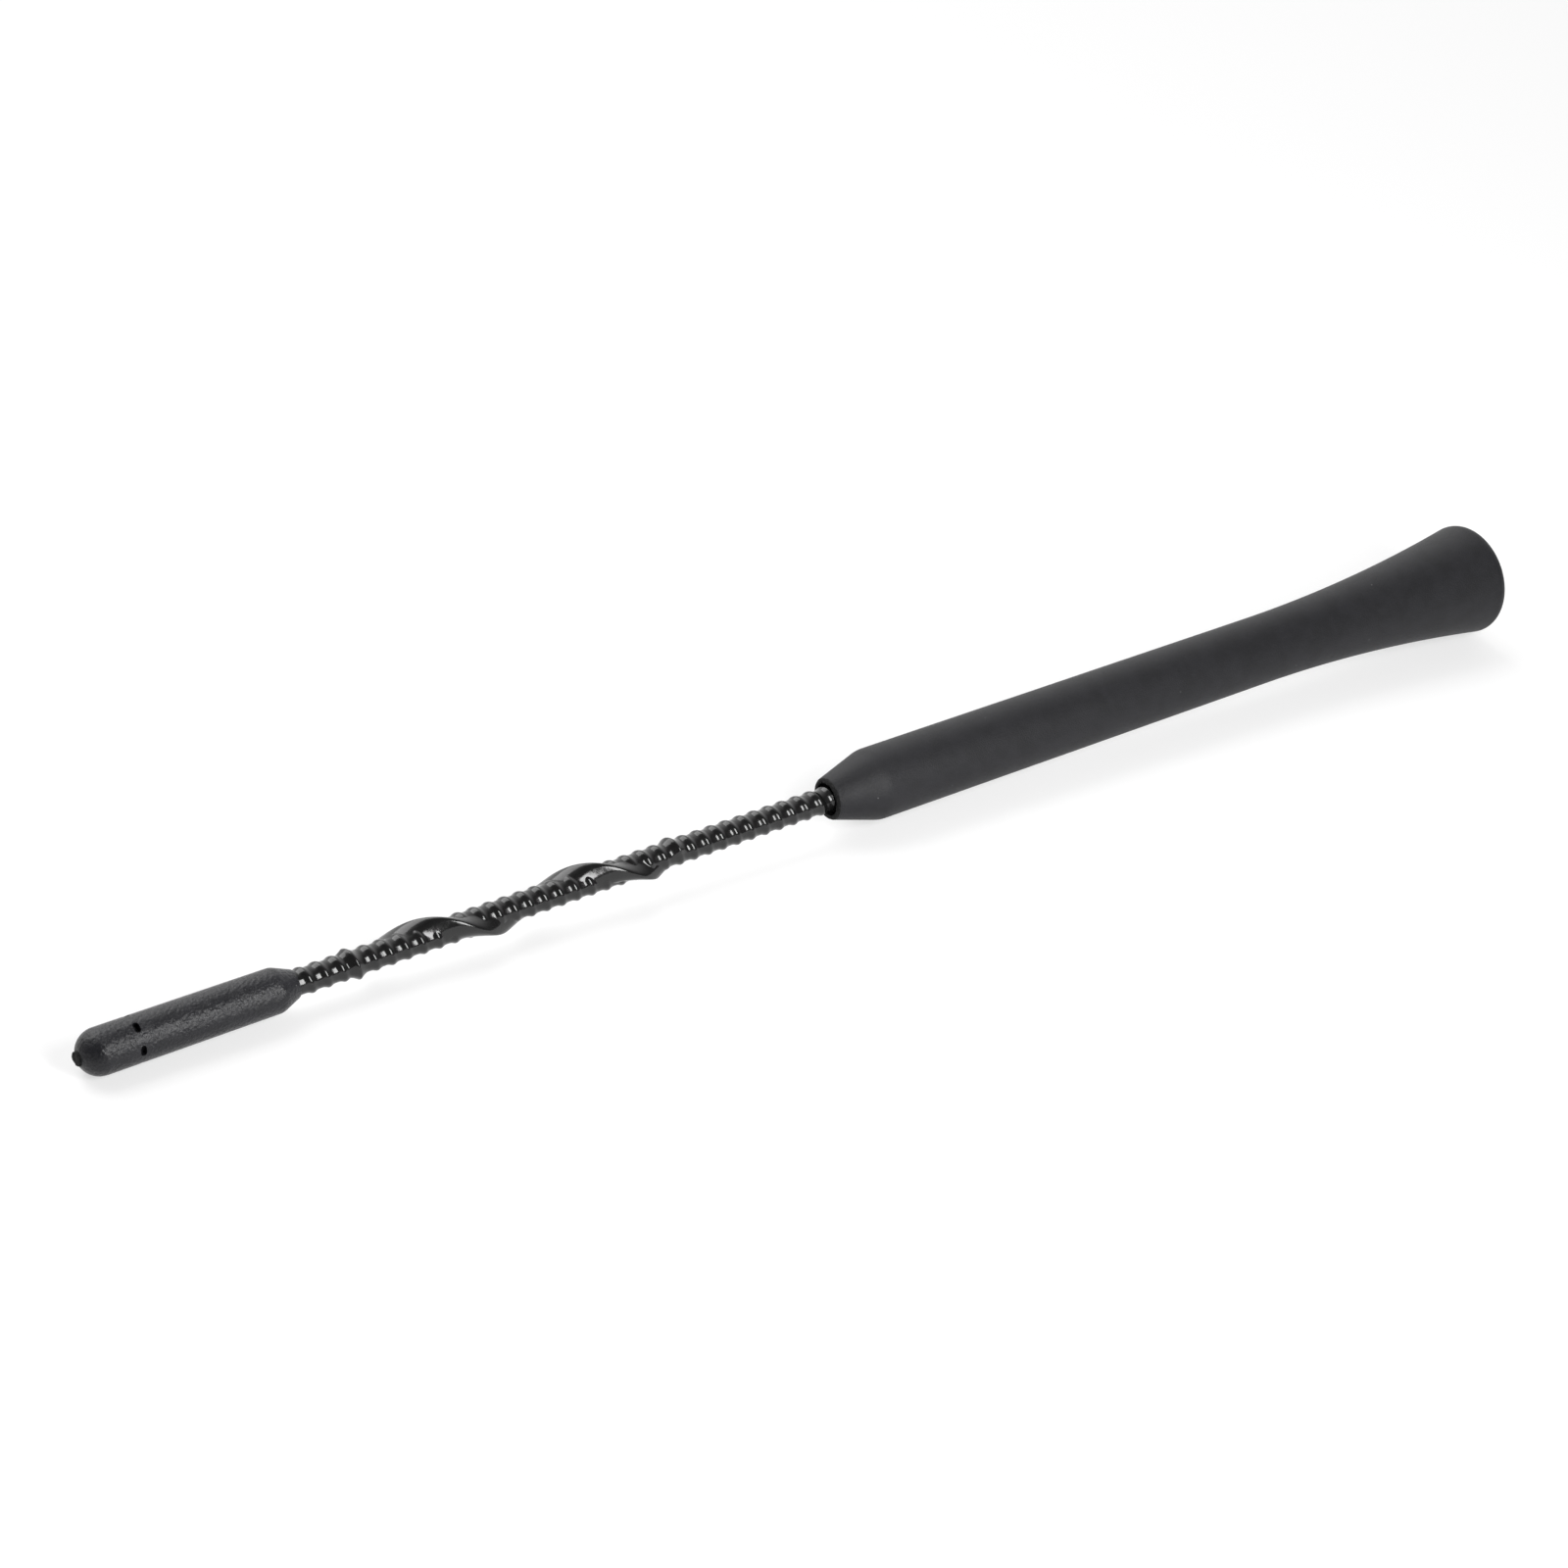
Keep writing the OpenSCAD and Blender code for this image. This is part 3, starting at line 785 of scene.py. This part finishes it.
def cap_outline():
    mouth = (CAP_MOUTH_R, CAP_Z)
    shoulder = (CAP_SKIRT_R, CAP_Z + CAP_CONE_LEN)
    side = (CAP_R, DOME_Z)
    bore = RIB_SADDLE_R + FIT_GAP
    rod_bore = ROD_R + FIT_GAP
    gate_angle = math.degrees(math.acos(GATE_R / CAP_R))
    wall_low_z = CAP_Z + CAP_CONE_LEN + CAP_SIDE_START
    shares = [i / CAP_SIDE_STEPS for i in range(1, CAP_SIDE_STEPS)]
    wall_radii = [CAP_SKIRT_R + (CAP_R - CAP_SKIRT_R) * share for share in shares]
    wall_heights = [wall_low_z + (DOME_Z - wall_low_z) * share for share in shares]
    return [
        (bore, CAP_Z),
        *rounded((bore, CAP_Z), mouth, shoulder, CAP_EDGE_ROUND, steps=3),
        *rounded(mouth, shoulder, side, CAP_ROUND, steps=10),
        *zip(wall_radii, wall_heights),
        *arc((0, DOME_Z), CAP_R, 0, gate_angle, steps=30),
        *level_steps(GATE_R, GATE_FOOT_Z + GATE_FIRST_STEP, TIP_Z, GATE_STEP),
        *[(GATE_R * (1 - i / GATE_RINGS), TIP_Z) for i in range(1, GATE_RINGS + 1)],
        (0, ROD_HIGH_Z),
        (rod_bore, ROD_HIGH_Z),
        (rod_bore, SKIN_HIGH_Z),
        (bore, SKIN_HIGH_Z),
    ]


def tear_gate(cap):
    """Roughens the stub on the dome, as it is left where the sprue was twisted off."""
    tear_low_z = TIP_Z - GATE_H - TEAR_REACH
    for vertex in cap.data.vertices:
        x, y, z = vertex.co / MM
        if z < tear_low_z or math.hypot(x, y) > GATE_R + TEAR_MARGIN:
            continue
        share = min(1, (z - tear_low_z) / TEAR_FADE)
        place = Vector((x, y, z * TEAR_STRETCH))
        swell = uneven(place, TEAR_SWELL_SCALE, (3, 1, 7), TEAR_SWELL)
        chip = uneven(place, TEAR_CHIP_SCALE, (9, 4, 2), TEAR_CHIP)
        push = 1 + (swell + chip) * share
        hollow = uneven(place, TEAR_HOLLOW_SCALE, (5, 8, 1), TEAR_HOLLOW)
        pit = uneven(place, TEAR_PIT_SCALE, (0, 0, 0), TEAR_PIT)
        sink = (TEAR_SINK + hollow + pit) * share
        vertex.co = (x * push * MM, y * push * MM, (z - sink) * MM)


def hole_cutter():
    """One oval prism that lies along +X and reaches past the cap's side."""
    spread = (HOLE_LEN - HOLE_W) / 2
    right = arc((spread, 0), HOLE_W / 2, -90, 90, steps=10)
    left = arc((-spread, 0), HOLE_W / 2, 90, 270, steps=10)
    loop = right + left
    count = len(loop)
    inner = CAP_R - HOLE_DEPTH
    outer = CAP_R + CUTTER_OVERHANG
    points = [(x * MM, y * MM, z * MM) for x in (inner, outer) for y, z in loop]
    faces = [list(range(count))[::-1], [count + i for i in range(count)]]
    faces += [[i, (i + 1) % count, count + (i + 1) % count, count + i] for i in range(count)]
    mesh = bpy.data.meshes.new("oval_cutter")
    mesh.from_pydata(points, [], faces)
    return add_object("oval_cutter", mesh)


def perforated(board, size):
    """Sinks a ring of oval holes into the cap."""
    centres = board.node("GeometryNodeMeshCircle", None, {"Vertices": HOLE_COUNT, "Radius": 0.0})
    ring = board.node("GeometryNodeMeshToPoints", None, {"Mesh": centres})
    index = board.node("GeometryNodeInputIndex")
    turn = (size["First hole"] - index * 360 / HOLE_COUNT) * math.pi / 180
    euler = board.node("FunctionNodeEulerToRotation", None, {0: board.vector(0, 0, turn)})
    source = {"Object": size["Cutter"]}
    cutter = board.node("GeometryNodeObjectInfo", None, source, output="Geometry")
    sockets = {"Points": ring, "Instance": cutter, "Rotation": euler}
    cutters = board.node("GeometryNodeInstanceOnPoints", None, sockets)
    lift = board.vector(0, 0, size["Hole height"] * MM)
    raised = board.node("GeometryNodeTransform", None, {"Geometry": cutters, "Translation": lift})
    solid = board.node("GeometryNodeRealizeInstances", None, {"Geometry": raised})
    cut = {"operation": "DIFFERENCE", "solver": "EXACT"}
    return board.node("GeometryNodeMeshBoolean", cut, {0: size["Blank"], 1: solid})


def make_cap(material):
    cap = lathe("grained_cap", cap_outline(), MOULDING_SIDES)
    tear_gate(cap)
    cutter = hole_cutter()
    hole_z = TIP_Z - GATE_H - HOLE_DROP
    sizes = {"Cutter": cutter, "First hole": HOLE_PHASE, "Hole height": hole_z}
    board, size = shape_tree("ring of holes", sizes)
    cap = shaped(cap, board, perforated(board, size), sizes, material)
    bpy.data.objects.remove(cutter)
    finish_piece(smooth(cap), "tip_cap")


# Socket and wire

def socket_outline():
    neck = BODY_R - GROOVE_DEPTH
    hole_edge = (THREAD_HOLE_R + THREAD_CHAMFER, SOCKET_LOW_Z)
    flange_edge = (FLANGE_R, SOCKET_LOW_Z)
    flange_top = (FLANGE_R, BODY_LOW_Z)
    return [
        hole_edge,
        *rounded(hole_edge, flange_edge, flange_top, EDGE_ROUND, steps=4),
        flange_top,
        (BODY_R, BODY_LOW_Z),
        (BODY_R, GROOVE_LOW_Z),
        (neck, GROOVE_LOW_Z),
        (neck, GROOVE_LOW_Z + GROOVE_W),
        (BODY_R, GROOVE_LOW_Z + GROOVE_W),
        (BODY_R, BARREL_LOW_Z),
        (BARREL_R, BARREL_LOW_Z),
        (BARREL_R, BARREL_HIGH_Z),
        (ROD_R + FIT_GAP, BARREL_HIGH_Z),
        (ROD_R + FIT_GAP, BARREL_LOW_Z),
        (0, BARREL_LOW_Z),
        (0, THREAD_TOP_Z),
        *level_steps(THREAD_HOLE_R, THREAD_TOP_Z, THREAD_LOW_Z, THREAD_PITCH / THREAD_ROWS),
    ]


def threaded(board, size):
    """Cuts a vee thread into the wall of the tapped hole."""
    place = board.node("GeometryNodeInputPosition")
    x, y, z = board.parts(place)
    z = z / MM
    turn = y.math("ARCTAN2", x) / (2 * math.pi)
    across = (z / size["Thread pitch"] - turn).math("FRACT")
    vee = 1 - (across * 2 - 1).math("ABSOLUTE")
    groove = board.ramp(vee, THREAD_CREST_SHARE, THREAD_ROOT_SHARE, 0, 1, "LINEAR")
    radius = (x * x + y * y).math("SQRT") / MM
    on_wall = (radius - size["Hole radius"]).math("ABSOLUTE") < THREAD_MARGIN
    runout_low = size["Thread top"] - THREAD_RUNOUT_LOW
    runout_high = size["Thread top"] - THREAD_RUNOUT_HIGH
    faded = board.ramp(z, runout_low, runout_high, 1, 0)
    growth = 1 + groove * faded * size["Groove depth"] / size["Hole radius"]
    moved = board.vector(x * growth, y * growth, z * MM)
    sockets = {"Geometry": size["Blank"], "Selection": on_wall, "Position": moved}
    return board.node("GeometryNodeSetPosition", None, sockets)


def make_socket(material):
    sizes = {
        "Thread pitch": THREAD_PITCH,
        "Groove depth": THREAD_GROOVE,
        "Hole radius": THREAD_HOLE_R,
        "Thread top": THREAD_TOP_Z,
    }
    blank = lathe("brass_insert", socket_outline(), MAST_SIDES)
    board, size = shape_tree("vee thread", sizes)
    insert = shaped(blank, board, threaded(board, size), sizes, material)
    finish_piece(smooth(insert), "threaded_socket")


def wound(board, size):
    """A line of points that runs up beside the rod and then winds round it, made a wire."""
    line = board.node("GeometryNodeMeshLine", None, {"Count": size["Points"].math("ROUND")})
    index = board.node("GeometryNodeInputIndex")
    turns = ((index - 1) / WIRE_SEGMENTS).math("MAXIMUM", 0)
    angle = (size["Start angle"] / 360 + turns) * 2 * math.pi
    radius = size["Winding radius"] * MM
    climb = (size["Winding low height"] + size["Pitch"] * turns) * MM
    lead = index < 0.5
    height = climb * (1 - lead) + size["Lead height"] * MM * lead
    place = board.vector(angle.math("COSINE") * radius, angle.math("SINE") * radius, height)
    path = board.node("GeometryNodeSetPosition", None, {"Geometry": line, "Position": place})
    curve = board.node("GeometryNodeMeshToCurve", None, {"Mesh": path})
    circle = {"Resolution": WIRE_SIDES, "Radius": size["Wire radius"] * MM}
    section = board.node("GeometryNodeCurvePrimitiveCircle", None, circle)
    sockets = {"Curve": curve, "Profile Curve": section, "Fill Caps": True}
    return board.node("GeometryNodeCurveToMesh", None, sockets)


def make_wire(material):
    low = SKIN_LOW_Z + WIRE_END_ROOM
    high = SKIN_HIGH_Z - WIRE_END_ROOM
    turns = (high - low) / RIB_PITCH
    # A point more than there are segments, and one for the lower end of the lead
    points = int(turns * WIRE_SEGMENTS) + 2
    sizes = {
        "Points": float(points),
        "Wire radius": WIRE_R,
        "Start angle": 360 * (low - CAP_Z) / RIB_PITCH + RIB_PHASE,
        "Winding radius": WIRE_CENTRE_R,
        "Winding low height": low,
        "Pitch": RIB_PITCH,
        "Lead height": WIRE_LOW_Z,
    }
    blank = add_object("copper_winding", bpy.data.meshes.new("copper_winding"))
    board, size = shape_tree("winding", sizes)
    wire = shaped(blank, board, wound(board, size), sizes, material)
    finish_piece(smooth(wire, sharp_angle=80), "antenna_winding")


# Studio

def place_camera():
    """Places the camera so that the two ends of the axis fall on their places in the frame."""
    focal = LENS / SENSOR * FRAME_SIDE
    middle = FRAME_SIDE / 2
    tip_ray = Vector(((TIP_IN_FRAME[0] - middle) / focal, (TIP_IN_FRAME[1] - middle) / focal, 1))
    foot_ray = Vector(((FOOT_IN_FRAME[0] - middle) / focal, (FOOT_IN_FRAME[1] - middle) / focal, 1))
    foot_ray *= FOOT_DEPTH_RATIO
    reach = TIP_Z * MM / (foot_ray - tip_ray).length
    tip = tip_ray * reach
    foot = foot_ray * reach
    # The part's own axes, as the camera sees them
    up = (tip - foot).normalized()
    height = -foot.dot(up)
    aside = -foot - up * height
    back = -aside.normalized()
    turn = Matrix((back.cross(up), back, up))
    data = bpy.data.cameras.new("camera")
    data.lens = LENS
    data.sensor_width = SENSOR
    data.clip_start = 0.01
    camera = bpy.data.objects.new("camera", data)
    bpy.context.scene.collection.objects.link(camera)
    # A frame counts its places down and its depth forwards, but a camera's axes run up and back
    flip = Matrix(((1, 0, 0), (0, -1, 0), (0, 0, -1)))
    camera.matrix_world = (turn @ flip).to_4x4()
    camera.matrix_world.translation = Vector((0, -aside.length, height))
    bpy.context.scene.camera = camera


def out_from_mast(around, climb):
    """A direction away from the mast: around it from -Y towards -X, and up towards the tip by
    the climb, both in degrees."""
    around = math.radians(around)
    climb = math.radians(climb)
    aside = math.cos(climb)
    return Vector((-math.sin(around) * aside, -math.cos(around) * aside, math.sin(climb)))


def soft_light(name, around, climb, distance, width, height, power):
    """A soft light aimed at the middle of the aerial, its width square to the mast."""
    data = bpy.data.lights.new(name, "AREA")
    data.shape = "RECTANGLE"
    data.size = width
    data.size_y = height
    data.energy = power
    light = bpy.data.objects.new(name, data)
    light.visible_camera = False
    bpy.context.scene.collection.objects.link(light)
    out = out_from_mast(around, climb)
    light.location = Vector((0, 0, 0.5 * TIP_Z * MM)) + out * distance
    light.rotation_euler = (-out).to_track_quat("-Z", "Y").to_euler()


def make_floor():
    """The pale floor on which the aerial lies: a plane that touches the foot's rim and the cap.
    It faces the camera's side and isn't there for views from behind."""
    lean = math.radians(FLOOR_LEAN)
    up = Vector((math.cos(lean), -math.sin(lean), 0))
    foot_touch = Vector((0, 0, FOOT_TOUCH_Z * MM)) - up * FOOT_TOUCH_R * MM
    cap_touch = Vector((0, 0, CAP_TOUCH_Z * MM)) - up * CAP_R * MM
    along = (cap_touch - foot_touch).normalized()
    side = along.cross(up).normalized()
    corners = []
    for a, b in ((-1, 1), (1, 1), (1, -1), (-1, -1)):
        corners.append(tuple(foot_touch + (along * a + side * b) * FLOOR_HALF))
    mesh = bpy.data.meshes.new("floor")
    mesh.from_pydata(corners, [], [[0, 1, 2, 3]])
    floor = add_object("floor", mesh)
    material, board, shader = new_material(
        "white_sweep", Base_Color=grey(0.4), Roughness=0.8, Specular_IOR_Level=0.0,
        Emission_Color=grey(1), Emission_Strength=FLOOR_GLOW)
    behind = board.node("ShaderNodeNewGeometry", output="Backfacing")
    clear = board.node("ShaderNodeBsdfTransparent")
    sockets = {0: behind, 1: Value(board, shader.outputs[0]), 2: clear}
    surface = board.node("ShaderNodeMixShader", None, sockets)
    end = board.tree.nodes["Material Output"]
    board.tree.links.new(surface.socket, end.inputs["Surface"])
    mesh.materials.append(material)


def make_world():
    """A world that is bright on one side, and plain white where the camera sees it."""
    world = bpy.data.worlds.new("studio")
    bpy.context.scene.world = world
    world.use_nodes = True
    world.node_tree.nodes.clear()
    board = Board(world.node_tree)
    place = board.node("ShaderNodeTexCoord", output="Generated")
    product = {"operation": "DOT_PRODUCT"}
    bright_side = out_from_mast(WORLD_AROUND, WORLD_CLIMB)
    sockets = {0: place, 1: bright_side}
    facing = board.node("ShaderNodeVectorMath", product, sockets, output="Value")
    glow = board.ramp(facing, WORLD_FADE_LOW, WORLD_FADE_HIGH, WORLD_DIM, WORLD_BRIGHT)
    seen = board.node("ShaderNodeLightPath", output="Is Camera Ray")
    level = glow + (1 - glow) * seen
    sky = board.node("ShaderNodeBackground", None, {"Color": (1, 1, 1, 1), "Strength": level})
    board.node("ShaderNodeOutputWorld", None, {"Surface": sky})


bpy.context.scene.view_settings.view_transform = "Standard"
place_camera()
make_sleeve(eroded_plastic(
    "sleeve_black", level=SLEEVE_BLACK, gloss=0.29, grain_scale=6, grain_depth=0.05,
    rough_low=0.5, rough_high=0.58, tear_and_shade_z=LIP_PAINTED_SHADE_Z))
make_skin(shrunk_skin("skin_black"))
make_cap(eroded_plastic(
    "cap_black", level=CAP_BLACK, gloss=0.29, grain_scale=2.4, grain_depth=0.12,
    rough_low=0.24, rough_high=0.37, tear_and_shade_z=GATE_FOOT_Z))
make_socket(turned_brass("brass"))
make_wire(drawn_copper("copper"))
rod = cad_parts["core_rod"]
rod.data.materials.clear()
rod.data.materials.append(glass_rod("glass_fibre"))
make_floor()
make_world()
soft_light("front box", around=9, climb=-2, distance=0.3, width=0.22, height=0.11, power=1.2)
soft_light("top box", around=-88, climb=8, distance=1.0, width=0.8, height=0.8, power=7)
